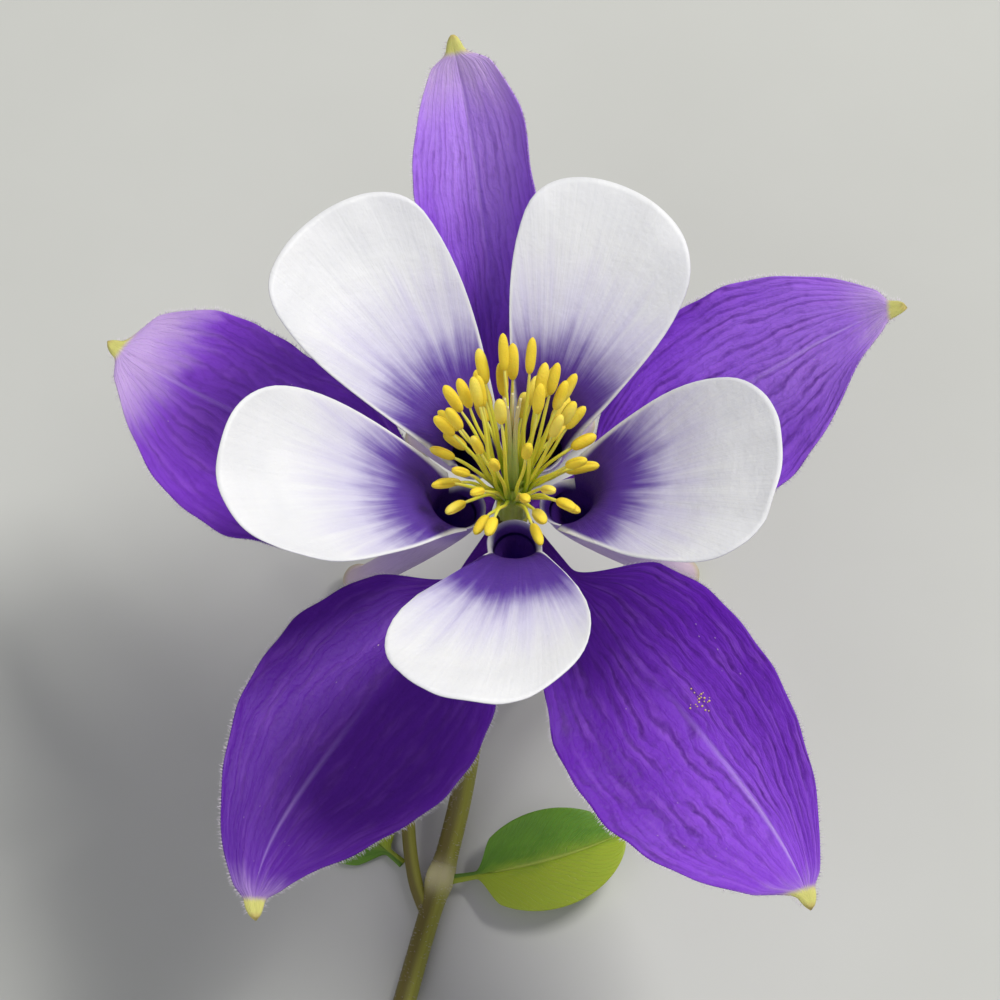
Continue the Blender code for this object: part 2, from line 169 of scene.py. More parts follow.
def ring_faces(tubes, rows, around):
    """Faces over rings of points: quads from each ring to the next, and at both ends of each tube a fan round
    the ring's middle. The middles are numbered after all the rings, first and last of each tube in turn."""
    t, i, j = np.meshgrid(np.arange(tubes), np.arange(rows - 1), np.arange(around), indexing="ij")
    a = ((t * rows + i) * around + j).ravel()
    b = ((t * rows + i) * around + (j + 1) % around).ravel()
    quads = np.stack([a, b, b + around, a + around], -1)
    t, j = np.meshgrid(np.arange(tubes), np.arange(around), indexing="ij")
    first = (t * rows * around + j).ravel()
    first_next = (t * rows * around + (j + 1) % around).ravel()
    to_last = (rows - 1) * around
    middle = tubes * rows * around + 2 * t.ravel()
    fans = np.concatenate([np.stack([middle, first_next, first], -1),
                           np.stack([middle + 1, first + to_last, first_next + to_last], -1)])
    return quads, fans


def with_middles(values):
    """The values of all ring points in one list, then the means of each tube's first and last ring."""
    ends = np.stack([values[:, 0].mean(axis=1), values[:, -1].mean(axis=1)], 1)
    tail = values.shape[3:]
    return np.concatenate([values.reshape(-1, *tail), ends.reshape(-1, *tail)])


def six_volumes(points, faces):
    """Six times the volume under triangles: the sum of a . (b x c), negative where they point inwards."""
    return np.einsum("ij,ij->", points[faces[:, 0]], np.cross(points[faces[:, 1]], points[faces[:, 2]]))


def wrap(name, rings, finish, marks, replaced=None):
    """Makes a piece by carrying a closed surface through rings of points, an array (tubes, rows, around, 3)
    or (rows, around, 3). Its faces point outwards, and marks are numbers kept at each ring point."""
    rings = np.asarray(rings, float)
    if rings.ndim == 3:
        rings = rings[None]
    points = with_middles(rings)
    points[:, 2] = np.maximum(points[:, 2], FLOOR_Z)
    quads, fans = ring_faces(*rings.shape[:3])
    if sum(six_volumes(points, faces) for faces in (quads[:, :3], quads[:, [0, 2, 3]], fans)) < 0:
        quads = quads[:, ::-1]
        fans = fans[:, ::-1]
    mesh = bpy.data.meshes.new(name)
    mesh.vertices.add(len(points))
    mesh.vertices.foreach_set("co", ((points + BLOOM) * MM).astype(np.float32).ravel())
    corners = np.concatenate([quads.ravel(), fans.ravel()]).astype(np.int32)
    mesh.loops.add(len(corners))
    mesh.loops.foreach_set("vertex_index", corners)
    mesh.polygons.add(len(quads) + len(fans))
    starts = np.concatenate([np.arange(len(quads)) * 4, 4 * len(quads) + np.arange(len(fans)) * 3])
    mesh.polygons.foreach_set("loop_start", starts.astype(np.int32))
    mesh.update(calc_edges=True)
    mesh.validate()
    mesh.polygons.foreach_set("use_smooth", np.ones(len(mesh.polygons), bool))
    for mark, values in marks.items():
        layer = mesh.attributes.new(mark, "FLOAT", "POINT")
        values = np.broadcast_to(values, rings.shape[:3]).astype(np.float32)
        layer.data.foreach_set("value", with_middles(values))
    mesh.materials.append(finish.material)
    piece = bpy.data.objects.new(name, mesh)
    bpy.context.scene.collection.objects.link(piece)
    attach(piece, "root")
    if replaced:
        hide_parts(replaced)


def circle(count):
    """Angles of equal steps once round."""
    return np.linspace(0, 2 * np.pi, count, endpoint=False)


def tube_rings(path, radii, around, flat=1.0):
    """Circles of the given radii set square to a path, with no twist from one to the next. One radius serves
    a whole ring, or each point of it has its own, and flat squeezes the rings one way."""
    path = np.asarray(path, float)
    tangent = unit(np.gradient(path, axis=0))
    side = np.zeros_like(path)
    guide = np.array([1.0, 0, 0]) if abs(tangent[0][0]) < 0.9 else np.array([0, 1.0, 0])
    for i, ahead in enumerate(tangent):
        guide = guide - ahead * (guide @ ahead)
        guide = guide / np.linalg.norm(guide)
        side[i] = guide
    other = np.cross(tangent, side)
    turn = circle(around)
    ring = np.cos(turn)[None, :, None] * side[:, None] + flat * np.sin(turn)[None, :, None] * other[:, None]
    radii = np.asarray(radii, float)
    radii = radii[:, None] if radii.ndim == 1 else radii
    return path[:, None] + ring * radii[..., None]


def smooth_path(knots, count):
    """A curve through the given points, a cubic between each two, whose slope at a point is half the step
    between its neighbours. It is worked out at equal steps from point to point."""
    knots = np.asarray(knots, float)
    padded = np.concatenate([[2 * knots[0] - knots[1]], knots, [2 * knots[-1] - knots[-2]]])
    k = np.linspace(0, len(knots) - 1, count)
    i = np.minimum(k.astype(int), len(knots) - 2)
    f = (k - i)[:, None]
    a, b, c, d = (padded[i + n] for n in range(4))
    return 0.5 * (2 * b + (c - a) * f + (2 * a - 5 * b + 4 * c - d) * f**2 + (3 * b - a - 3 * c + d) * f**3)


def hair_rings(roots, ways, lengths, radius):
    """Fine hairs as three-sided spikes: each narrows along its way to a tenth of its radius."""
    share = np.array([0, 0.5, 1.0])
    path = roots[:, None] + ways[:, None] * (lengths[:, None] * share)[..., None]
    helper = np.where(np.abs(ways[:, :1]) < 0.8, np.array([[1.0, 0, 0]]), np.array([[0, 1.0, 0]]))
    side = unit(np.cross(ways, helper))
    other = np.cross(ways, side)
    turn = np.arange(3) * 2 * np.pi / 3
    ring = np.cos(turn)[:, None] * side[:, None] + np.sin(turn)[:, None] * other[:, None]
    thin = radius * np.array([1, 0.6, 0.1])
    return path[:, :, None] + ring[:, None] * thin[None, :, None, None]


def stalk_skin():
    """Olive skin streaked along the stalk, darkened to brown with painted shade where it faces left, and pale
    at the swelling.
    """
    finish = Finish("stalk_skin", Roughness=0.5, Subsurface_Weight=0.15, Subsurface_Scale=0.001,
                    Subsurface_Radius=(0.6, 0.8, 0.2))
    along = finish.mark("along")
    turn = finish.mark("turn")
    streak = finish.noise(finish.grid(turn * 5.0, along * 0.06), 1.0)
    # Painted shade: the side that faces left, away from the key light, is darkened to brown.
    shade = finish.ease(turn * -1.0 + streak * 0.5, -0.15, 0.75)
    skin = finish.mix(streak, (0.26, 0.24, 0.02), (0.36, 0.38, 0.05))
    skin = finish.mix(shade * 0.75, skin, (0.085, 0.05, 0.012))
    skin = finish.mix(finish.mark("pale"), skin, (0.62, 0.58, 0.30))
    finish.colour(skin)
    finish.bump(finish.noise(finish.grid(turn * 9.0, along * 0.4), 1.0), 0.00012, 0.6)
    return finish


def fine_hair():
    """Pale hairs, some a little more violet than others."""
    finish = Finish("fine_hair", Roughness=0.45)
    finish.colour(finish.mix(finish.noise(finish.place(), 900.0), (0.66, 0.58, 0.72), (0.85, 0.82, 0.86)))
    return finish


stem_path = smooth_path(STEM_PATH, STEM_ROWS)
stem_run = np.concatenate([[0], np.cumsum(np.linalg.norm(np.diff(stem_path, axis=0), axis=1))])
to_swelling = np.linalg.norm(stem_path - np.array(SWELLING), axis=1)
stem_radii = STEM_R + 0.45 * np.exp(-(stem_run / 2.2)**2) + 0.35 * np.exp(-(to_swelling / 1.8)**2) - 0.03
stem_path[:, 2] = np.maximum(stem_path[:, 2], FLOOR_Z + stem_radii + 0.05)
stem_turn = circle(STEM_AROUND)
stem_ribs = 1 + 0.025 * np.cos(5 * stem_turn)[None] + 0.012 * np.sin(stem_run / 3.1)[:, None]
stalk_finish = stalk_skin()
wrap("stalk", tube_rings(stem_path, stem_radii[:, None] * stem_ribs * 0.985, STEM_AROUND), stalk_finish,
     {"along": stem_run[None, :, None], "turn": np.cos(stem_turn)[None, None],
      "pale": (0.9 * np.exp(-(to_swelling / 1.5)**2))[None, :, None]}, "stem")

shoot_share = np.linspace(0, 1, SHOOT_ROWS)
shoot_radii = SHOOT_R * np.interp(shoot_share, [0, 0.75, 0.93, 1], [0.98, 0.95, 0.8, 0.45])
wrap("side_shoot", tube_rings(smooth_path(SHOOT_PATH, SHOOT_ROWS), shoot_radii, SHOOT_AROUND), stalk_finish,
     {"along": 20 * shoot_share[None, :, None], "turn": np.cos(circle(SHOOT_AROUND))[None, None],
      "pale": 0.0})

hair_finish = fine_hair()
tufts = np.random.default_rng(3)
at = tufts.integers(20, STEM_ROWS - 4, STALK_HAIRS)
around = tufts.uniform(0.15, np.pi - 0.15, STALK_HAIRS)
ahead = unit(np.gradient(stem_path, axis=0))[at]
level = unit(np.cross(ahead, np.array([0, 0, 1.0])))
away = level * np.cos(around)[:, None] + np.cross(level, ahead) * np.sin(around)[:, None]
hair_ways = unit(away + ahead * tufts.uniform(-0.3, 0.5, (STALK_HAIRS, 1)))
wrap("stalk_hairs", hair_rings(stem_path[at] + away * (stem_radii[at] * 0.96)[:, None], hair_ways,
                               tufts.uniform(*STALK_HAIR_LONG, STALK_HAIRS), STALK_HAIR_R), hair_finish, {})

# Bract leaves. Two thin green leaves where the stalk swells; each is folded a little along its midrib, and
# its lower half is painted lighter yellow-green as painted light.

# heading and rise are the midrib's angles at its base, in degrees, and sweep, hook and arch change them up
# to the tip. left is the share of the width on the midrib's left. widest and slant say where each half is
# widest, full how far it narrows from there, and lobe widens the right half near its base. The two cups bend
# the halves, in degrees, and turn and twist roll the blade.
LEAVES = {
    "leaf_right": dict(start=(-6.1, -26.65, -35.3), heading=6, rise=10, arch=-4, sweep=18, length=18.5,
                       width=10.6, left=0.50, twist=0, widest=0.5, cup_left=34, cup_right=-12, full=1.25,
                       turn=-4, slant=0, hook=0, lobe=0),
    "leaf_left": dict(start=(-11.25, -24.6, -36.3), heading=140, rise=1, arch=7, sweep=-14, length=14.0,
                      width=10.0, left=0.50, twist=0, widest=0.52, cup_left=-8, cup_right=12, full=1.3,
                      turn=0, slant=0, hook=0, lobe=0),
}
CLAW_SHARE = 0.1
OPEN_SHARE = 0.15
MIDRIB_STEPS = 400
LEAF_ROWS = 110
LEAF_COLUMNS = 61
LEAF_CLAW = 0.5


def leaf_grid(p, start, rows, columns, claw_half, nib_half):
    """Middle surface of a sepal or leaf. The midrib's pitch and heading change along it, and across it run
    two arcs that cup towards the front. Their width follows (u/peak)^a ((1-u)/(1-peak))^b, with a narrow claw
    at the base and a nib at the tip."""
    u = np.linspace(0, 1, rows)
    v = np.linspace(-1, 1, columns)
    t = np.linspace(0, 1, MIDRIB_STEPS)
    pitch = np.radians(p["rise"] + p["arch"] * t)
    head = np.radians(p["heading"] + p["sweep"] * t**1.5 + p["hook"] * t**7)
    ahead = np.stack([np.cos(pitch) * np.cos(head), np.cos(pitch) * np.sin(head), np.sin(pitch)], -1)
    steps = (ahead[1:] + ahead[:-1]) / 2 * p["length"] / (MIDRIB_STEPS - 1)
    path = np.concatenate([np.zeros((1, 3)), np.cumsum(steps, 0)]) + np.asarray(start, float)
    middle = np.stack([np.interp(u, t, path[:, k]) for k in range(3)], -1)
    tangent = unit(np.stack([np.interp(u, t, ahead[:, k]) for k in range(3)], -1))
    facing = np.interp(u, t, head)
    side = np.stack([-np.sin(facing), np.cos(facing), 0 * facing], -1)
    up = np.cross(tangent, side)
    roll = np.radians(p["twist"] * u**1.2 + p["turn"])[:, None]
    side = side * np.cos(roll) + up * np.sin(roll)
    up = np.cross(tangent, side)
    blade = np.clip((u - CLAW_SHARE) / (1 - CLAW_SHARE), 1e-9, 1)
    nib = nib_half * np.clip((u - 0.84) / 0.08, 0, 1) * (1 - 0.35 * np.clip((u - 0.93) / 0.07, 0, 1))
    nib = nib * np.sqrt(1 - 0.97 * np.clip((u - 0.965) / 0.035, 0, 1)**2)
    claw = claw_half * (1 - u)**2
    gate = np.clip((u - CLAW_SHARE) / OPEN_SHARE, 0, 1)
    gate = (gate * gate * (3 - 2 * gate))[:, None]
    leftward = (v > 0)[None]
    half = p["width"] * np.where(leftward, p["left"], 1 - p["left"])
    peak = p["widest"] + np.where(leftward, p["slant"], -p["slant"])
    s = blade[:, None]
    swell = (s / peak)**(peak * p["full"]) * ((1 - s) / (1 - peak))**((1 - peak) * p["full"])
    stop = np.clip((s - 0.925) / 0.055, 0, 1)
    swell = swell * (1 - 0.9 * stop * stop * (3 - 2 * stop) * (nib_half > 0))
    wide = ((half * swell * gate)**3 + nib[:, None]**3 + claw[:, None]**3)**(1 / 3)
    wide = wide + p["lobe"] * gate * np.exp(-((u[:, None] - 0.36) / 0.13)**2) * (v < 0)[None]
    cup = np.radians(np.where(leftward, p["cup_left"], p["cup_right"]))
    bow = cup * np.sin(np.pi * u**0.8)[:, None]**0.7 + 1e-6
    turned = bow * np.abs(v)[None]
    out = np.sign(v)[None] * wide * np.sin(turned) / bow
    lift = wide * (1 - np.cos(turned)) / bow
    return middle[:, None] + side[:, None] * out[..., None] + up[:, None] * lift[..., None]


def sheet_marks(rows, columns):
    """Two numbers for each point of a sheet: u along it from 0 to 1, and v across it from -1 to 1."""
    return np.meshgrid(np.linspace(0, 1, rows), np.linspace(-1, 1, columns), indexing="ij")


def front_normals(grid):
    """Normals of a sheet, from the cross product of its steps along and across."""
    return unit(np.cross(np.gradient(grid, axis=0), np.gradient(grid, axis=1)))


def sheet_rings(grid, half):
    """Rings round a thin sheet: the front from right to left, then the back from left to right."""
    off = front_normals(grid) * half[..., None]
    return np.concatenate([grid + off, (grid - off)[:, ::-1]], axis=1)


def both_sides(values):
    """A sheet's numbers in the order of its rings."""
    return np.concatenate([values, values[:, ::-1]], axis=1)[None]


def bract_green():
    """Mottled green, with painted light in yellow-green on the half right of the midrib, a pale midrib and
    faint side veins.
    """
    finish = Finish("bract_green", Roughness=0.48, Subsurface_Weight=0.2, Subsurface_Scale=0.002,
                    Subsurface_Radius=(0.5, 0.9, 0.15))
    u = finish.mark("along")
    v = finish.mark("across")
    off_rib = v.math("ABSOLUTE")
    mottle = finish.noise(finish.grid(u * 5.0, v * 3.0), 1.0)
    skin = finish.mix(mottle, (0.060, 0.170, 0.008), (0.13, 0.30, 0.015))
    # Painted light: the half right of the midrib turns yellow-green.
    lit = finish.ease(v * -1.0 + mottle * 0.5, -0.1, 0.55)
    skin = finish.mix(lit * 0.8, skin, (0.36, 0.44, 0.02))
    side_vein = (u * 26.0 - off_rib * 9.0 + mottle * 1.6).math("FRACT")
    side_vein = finish.ease((side_vein - 0.5).math("ABSOLUTE"), 0.36, 0.5)
    midrib = 1.0 - finish.ease(off_rib, 0.02, 0.07)
    skin = finish.mix(side_vein * 0.13 + midrib * 0.5, skin, (0.45, 0.52, 0.10))
    finish.colour(skin)
    finish.bump(side_vein * -0.4 - midrib * 1.0 + mottle * 0.5, 0.0002, 0.5)
    return finish


leaf_finish = bract_green()
u, v = sheet_marks(LEAF_ROWS, LEAF_COLUMNS)
leaf_crease = -0.16 * np.exp(-(v / 0.05)**2) * np.clip(6 * u * (1 - u), 0, 1)
leaf_veins = 0.05 * np.sin(26 * np.pi * (u - 0.35 * np.abs(v))) * np.abs(v) * (1 - np.abs(v))
leaf_wave = 0.10 * np.sin(9 * u + 2 * v) * np.abs(v)**2
leaf_relief = np.clip(leaf_crease + leaf_veins + leaf_wave, -0.2, 0.15)
for name, p in LEAVES.items():
    grid = leaf_grid(p, p["start"], LEAF_ROWS, LEAF_COLUMNS, LEAF_CLAW, 0.0)
    grid = grid + front_normals(grid) * leaf_relief[..., None]
    wrap(name.replace("leaf", "bract"), sheet_rings(grid, 0.16 - 0.09 * np.abs(v)**3), leaf_finish,
         {"along": both_sides(u), "across": both_sides(v)}, name)

# Sepals. Five violet sheets that leave the receptacle between the spurs; darker veins run their length,
# the tip pales to pink and ends in a thick green-yellow nib, and fine pale hairs fringe the margin.

SEPAL_R = 2.0
SEPAL_Z = -3.0
# The leaves' keys, and: crease is the fold along the midrib, pale is where the blush begins, veined is how
# strong the veins are, and tone makes a sepal lighter with painted light or darker with painted shade.
SEPALS = {
    "sepal_top": dict(heading=95.3, rise=23, arch=8, sweep=6.7, length=45.7, width=16.2, left=0.43,
                      twist=-11, widest=0.53, cup_left=75, cup_right=75, full=1.6, turn=-15.5, slant=0,
                      hook=1, lobe=0, crease=0.24, pale=0.80, veined=0.5, tone=0.60),
    "sepal_left": dict(heading=163, rise=6, arch=-7, sweep=-17.5, length=42.5, width=22.6, left=0.60,
                       twist=-4.5, widest=0.56, cup_left=27, cup_right=29, full=2.05, turn=-1.5,
                       slant=-0.11, hook=-2, lobe=2.6, crease=0.14, pale=0.76, veined=0.5, tone=0.15),
    "sepal_low_left": dict(heading=236, rise=1, arch=6, sweep=-1.5, length=48.5, width=23.4, left=0.53,
                           twist=-2, widest=0.44, cup_left=20, cup_right=31, full=2.1, turn=-3.5,
                           slant=0, hook=48, lobe=0, crease=0.14, pale=0.88, veined=0.55, tone=-0.45),
    "sepal_low_right": dict(heading=308, rise=2.5, arch=2, sweep=-5, length=49, width=23.8, left=0.42,
                            twist=-2, widest=0.46, cup_left=29, cup_right=17, full=1.75, turn=4,
                            slant=-0.07, hook=-22, lobe=0, crease=0.14, pale=0.90, veined=0.95, tone=-0.05),
    "sepal_right": dict(heading=22.5, rise=18, arch=15, sweep=0.5, length=42.5, width=23.2, left=0.44,
                        twist=-1.5, widest=0.46, cup_left=23, cup_right=20, full=2.2, turn=-1,
                        slant=0.05, hook=-28, lobe=0, crease=0.14, pale=0.83, veined=0.8, tone=0.42),
}
SEPAL_ROWS = 190
SEPAL_COLUMNS = 93
SEPAL_CLAW = 1.0
SEPAL_NIB = 1.15
RELIEF_LIMIT = 0.26
MARGIN_HAIRS = 560
MARGIN_HAIR_R = 0.028
MARGIN_HAIR_LONG = (0.25, 0.62)
DUSTED = "sepal_low_right"
POLLEN_GRAINS = 26
GRAIN_R = (0.04, 0.12)
GRAIN_ROWS = 6
GRAIN_AROUND = 8


def crimped(grid, u, v, phase):
    """Pulls the margin in towards the midrib, by |v|^6 times a ripple of two sine waves along it."""
    ripple = 1 + np.sin(31 * u + phase[5] + np.sign(v)) * 0.5 + np.sin(57 * u + phase[6] - np.sign(v)) * 0.5
    midrib = grid[:, SEPAL_COLUMNS // 2][:, None]
    return midrib + (grid - midrib) * (1 - 0.014 * ripple * np.abs(v)**6)[..., None]


def sepal_relief(u, v, phase, crease):
    """Height over the smooth sheet: waves that grow towards the margin as |v|^2.5, fine ribs between the
    veins, a slow swell, and a crease along the midrib. It fades out at the claw and the nib."""
    blade = np.clip(15 * (u - 0.12) * (0.97 - u), 0, 1)
    wave = 0.16 * np.sin(17 * u + phase[0] + 1.2 * np.sign(v)) + 0.10 * np.sin(41 * u + phase[1] + 2 * v)
    ribs = np.cos(2 * np.pi * (6.25 * v + 0.35 * np.sin(5 * u + phase[2] + 3 * v)))
    swell = np.sin(2.2 * np.pi * v + phase[3]) * np.sin(3.0 * u + phase[4])
    height = wave * np.abs(v)**2.5 + 0.018 * ribs * (1 - 0.4 * np.abs(v)) + 0.12 * swell
    return np.clip((height - crease * np.exp(-(v / 0.045)**2)) * blade, -RELIEF_LIMIT, RELIEF_LIMIT)


def sepal_velvet():
    """Violet that lightens from base to tip, with wandering dark veins, a pale midrib, a pink blush before
    the green-yellow nib, and a few pale specks. A high tone adds painted light in pale lilac and a low tone
    adds painted shade. The bump follows the veins and adds a fine grain."""
    finish = Finish("sepal_velvet", Roughness=0.55, Subsurface_Weight=0.10, Subsurface_Scale=0.0012,
                    Subsurface_Radius=(0.6, 0.3, 1.0), Specular_IOR_Level=0.22)
    u = finish.mark("along")
    v = finish.mark("across")
    seed = finish.mark("seed")
    tone = finish.mark("tone")
    veined = finish.mark("veined")
    off_rib = v.math("ABSOLUTE")
    drift = finish.noise(finish.grid(u * 7.0, v * 3.0, seed), 1.0, 3.0)
    blotch = finish.noise(finish.grid(u * 3.0, v * 2.0, seed + 4.0), 1.0, 4.0)
    fine = finish.noise(finish.grid(u * 70.0, v * 40.0, seed), 1.0, 3.0)
    fade = finish.noise(finish.grid(u * 9.0, v * 8.0, seed + 2.0), 1.0, 2.0)
    grain = finish.noise(finish.place(), 2400.0, 2.0)
    vein_at = v * 9.0 + drift * 2.8 + off_rib * u * 1.5
    main_vein = finish.ease((vein_at.math("FRACT") - 0.5).math("ABSOLUTE"), 0.20, 0.5)
    thin_vein = (vein_at * 2.0 + fine * 0.7).math("FRACT")
    thin_vein = finish.ease((thin_vein - 0.5).math("ABSOLUTE"), 0.22, 0.5)
    cross_vein = finish.noise(finish.grid(u * 40.0, v * 10.0, seed + 9.0), 1.0, 3.0)

    deep = finish.mix(blotch, (0.088, 0.006, 0.30), (0.155, 0.020, 0.49))
    light = finish.mix(blotch, (0.185, 0.032, 0.56), (0.30, 0.088, 0.74))
    # A high tone moves a whole sepal towards the light violet as painted light, and a low tone towards the
    # deep violet as painted shade.
    far = finish.ease(u + tone - off_rib * 0.28 + (blotch - 0.5) * 0.5, 0.15, 0.85)
    skin = finish.mix(far, deep, light)
    # Painted light: sepals with a high tone get a pale lilac wash that spreads from the tip.
    painted_glow = finish.ease(u - off_rib * 0.2 + (blotch - 0.5) * 0.4, 0.25, 0.80)
    skin = finish.mix(finish.ease(tone, 0.15, 0.70) * painted_glow, skin, (0.50, 0.28, 0.92))
    skin = finish.mix(finish.ease(fade, 0.45, 0.75) * 0.22, skin, (0.42, 0.16, 0.78))
    # Painted shade: sepals with the lowest tone are darkened.
    skin = finish.mix(finish.ease(tone * -1.0, 0.1, 0.5) * 0.45, skin, (0.055, 0.004, 0.20))

    veins = main_vein * finish.ease(fade, 0.30, 0.65) * 0.75 + thin_vein * 0.20
    veins = veins + finish.ease(cross_vein, 0.50, 0.7) * 0.25
    veins = veins * (1.0 - finish.ease(u, 0.74, 0.92) * 0.75)
    skin = finish.mix((veins * veined).math("MINIMUM", 1.0), skin, (0.060, 0.003, 0.19))
    rib = (1.0 - finish.ease(off_rib, 0.0, 0.045)) * finish.ease(u, 0.40, 0.9) * veined
    skin = finish.mix(rib * 0.8, skin, (0.50, 0.34, 0.80))

    blush = u - finish.mark("pale") + (drift - 0.5) * 0.10 + (fade - 0.5) * 0.06
    skin = finish.mix(finish.ease(blush, 0.0, 0.16) * 0.8, skin, (0.60, 0.44, 0.74))
    nib = finish.ease(u + (fine - 0.5) * 0.02, 0.950, 0.968)
    skin = finish.mix(nib, skin, (0.68, 0.66, 0.20))
    skin = finish.mix(finish.ease(u, 0.985, 1.0) * 0.4, skin, (0.52, 0.30, 0.10))
    speck = finish.node("TexVoronoi", None, 0, Vector=finish.grid(u * 30.0, v * 12.0, seed), Scale=1.0)
    dusty = (1.0 - finish.ease(speck, 0.03, 0.08)) * finish.ease(blotch, 0.52, 0.62)
    skin = finish.mix(dusty * 0.75, skin, (0.62, 0.50, 0.45))
    finish.colour(skin)
    bumps = main_vein * -0.25 - thin_vein * 0.15 + fine * 0.35 + cross_vein * 0.6 + grain * 0.35
    finish.bump(bumps, 0.0002, 0.6)
    return finish


def margin_hairs(grid, normals, edge, inner):
    """Hairs along one margin: each leaves it outwards and leans towards the tip and a little up or down."""
    rows = draw.uniform(0.20 * SEPAL_ROWS, 0.985 * SEPAL_ROWS, MARGIN_HAIRS).astype(int)
    outward = unit(grid[rows, edge] - grid[rows, inner])
    along = unit(grid[np.minimum(rows + 1, SEPAL_ROWS - 1), edge] - grid[rows - 1, edge])
    ways = unit(outward + along * draw.uniform(-0.1, 0.7, (MARGIN_HAIRS, 1))
                + normals[rows, edge] * draw.uniform(-0.5, 0.5, (MARGIN_HAIRS, 1)))
    lengths = draw.uniform(*MARGIN_HAIR_LONG, MARGIN_HAIRS)
    return hair_rings(grid[rows, edge] - outward * 0.05, ways, lengths, MARGIN_HAIR_R)


def pollen_dust():
    """Dull yellow to buff grains."""
    finish = Finish("pollen_dust", Roughness=0.7)
    finish.colour(finish.mix(finish.noise(finish.place(), 3000.0), (0.55, 0.38, 0.10), (0.85, 0.70, 0.30)))
    return finish


draw = np.random.default_rng(7)
sepal_finish = sepal_velvet()
u, v = sheet_marks(SEPAL_ROWS, SEPAL_COLUMNS)
sepal_half = 0.13 - 0.06 * np.abs(v)**4 + 0.22 * np.clip((u - 0.90) / 0.06, 0, 1) * (1 - v**4)
sepal_half = sepal_half + 0.15 * np.clip((0.12 - u) / 0.12, 0, 1)
hairs = []
for number, (name, p) in enumerate(SEPALS.items()):
    head = math.radians(p["heading"])
    start = (SEPAL_R * math.cos(head), SEPAL_R * math.sin(head), SEPAL_Z)
    phase = draw.uniform(0, 6.28, 8)
    grid = crimped(leaf_grid(p, start, SEPAL_ROWS, SEPAL_COLUMNS, SEPAL_CLAW, SEPAL_NIB), u, v, phase)
    grid = grid + front_normals(grid) * sepal_relief(u, v, phase, p["crease"])[..., None]
    wrap(name.replace("sepal", "violet_sepal"), sheet_rings(grid, sepal_half), sepal_finish,
         {"along": both_sides(u), "across": both_sides(v), "seed": 7.0 * number, "pale": p["pale"],
          "veined": p["veined"], "tone": p["tone"]}, name)
    normals = front_normals(grid)
    if name == DUSTED:
        rows = (SEPAL_ROWS * draw.normal(0.52, 0.012, POLLEN_GRAINS)).astype(int)
        columns = (SEPAL_COLUMNS * draw.normal(0.60, 0.022, POLLEN_GRAINS)).astype(int)
        pollen = grid[rows, columns] + normals[rows, columns] * 0.17
    hairs.append(margin_hairs(grid, normals, 0, 3))
    hairs.append(margin_hairs(grid, normals, SEPAL_COLUMNS - 1, SEPAL_COLUMNS - 4))
wrap("sepal_hairs", np.concatenate(hairs), hair_finish, {})

latitude = np.linspace(0.15, np.pi - 0.15, GRAIN_ROWS)[:, None]
longitude = circle(GRAIN_AROUND)
ball = np.stack([np.sin(latitude) * np.cos(longitude), np.sin(latitude) * np.sin(longitude),
                 np.cos(latitude) + 0 * longitude], -1)
wrap("pollen_grains", pollen[:, None, None] + ball * draw.uniform(*GRAIN_R, (POLLEN_GRAINS, 1, 1, 1)),
     pollen_dust(), {})

# Petals. Five white blades, each drawn back into a violet throat and a long hollow spur with a small knob.
# Blade, throat and spur grew as one thin wall, so each petal is one surface, inside and out.

MOUTH_R = 6.0
MOUTH_Z = 1.0
TUBE_RADIAL = 2.4
TUBE_ACROSS = 2.2
MOUTH_FLARE = 12.0
RIM_IN = 2.9
THROAT_HALF = 2.6
SPUR_R = 0.95
SPUR_DRIFT = 13.0
NECK = 0.2
KNOB = 0.55
FOOT_R = 0.85
# heading points the blade, and turn_out is its lean in degrees after a bend of radius fillet. blade is its
# length and wide_left and wide_right its half widths. waist, widest and round shape its outline, skew draws
# its end aside, and bend, cup and twist curve its surface. spread, curl and side lead the spur, and stretch
# lengthens the violet on the face.
PETALS = {
    "petal_upper_left": dict(heading=130, turn_out=71, blade=26.0, wide_left=9.4, wide_right=8.6,
                             widest=0.755, skew=0.02, bend=-0.016, cup=0.133, round=2.1, waist=-2.0,
                             twist=-0.02, fillet=5.1, spread=9, curl=0.3, side=0, stretch=1.4),
    "petal_upper_right": dict(heading=61, turn_out=71, blade=24.4, wide_left=9.5, wide_right=8.1,
                              widest=0.73, skew=0.06, bend=-0.027, cup=0.04, round=2.05, waist=-1.0,
                              twist=0.05, fillet=6.6, spread=9, curl=0.3, side=0, stretch=1.4),
    "petal_left": dict(heading=198, turn_out=66.5, blade=25.7, wide_left=7.9, wide_right=10.1,
                       widest=0.65, skew=-0.005, bend=-0.014, cup=0.19, round=2.05, waist=-1.5,
                       twist=-0.07, fillet=5.7, spread=11, curl=0.35, side=0, stretch=1.4),
    "petal_right": dict(heading=-14, turn_out=66.5, blade=23.2, wide_left=10.3, wide_right=9.1,
                        widest=0.655, skew=-0.055, bend=0.047, cup=0.03, round=2.1, waist=-2.8,
                        twist=0.05, fillet=6.2, spread=13, curl=0.4, side=0, stretch=1.4),
    "petal_lower": dict(heading=272, turn_out=69.5, blade=26.3, wide_left=8.1, wide_right=10.6,
                        widest=0.675, skew=-0.142, bend=-0.004, cup=0.03, round=2.15, waist=2.5,
                        twist=-0.08, fillet=5.8, spread=8, curl=0.2, side=2.2, stretch=3.8),
}
PETAL_AROUND = 144
SPUR_T = np.concatenate([np.linspace(0.985, 0.90, 12), np.linspace(0.88, 0.02, 44)])
BLADE_SHARES = np.linspace(0, 1, 52)**1.15
# The inside of the spur starts at this ring, counted from the foot, and the spur is solid below it.
SPUR_FLOOR = 10


